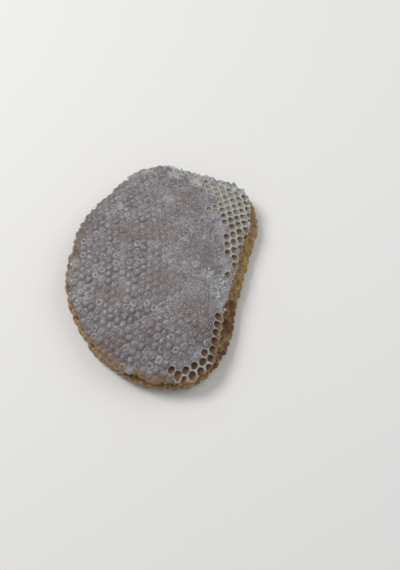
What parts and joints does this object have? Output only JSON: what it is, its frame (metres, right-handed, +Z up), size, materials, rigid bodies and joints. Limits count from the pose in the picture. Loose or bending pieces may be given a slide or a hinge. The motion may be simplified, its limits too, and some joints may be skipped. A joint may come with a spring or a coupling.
{
  "type": "honeycomb piece",
  "caption": "Torn-off piece of capped honeycomb lying flat: a domed face of wax-capped cells with open cells along its right edge, and a ragged golden side.",
  "frame": {"origin": "under the middle of the piece's bounding box, on the plane that it rests on", "axes": "+X across the piece towards the side with the open cells, +Y along its longest way, +Z up through its thickness"},
  "size_m": [0.1304, 0.1606, 0.0298],
  "materials": {
    "comb": "dry white beeswax cappings over cells of golden honey"
  },
  "bodies": {
    "root": {"honeycomb": "comb"}
  },
  "joints": []
}
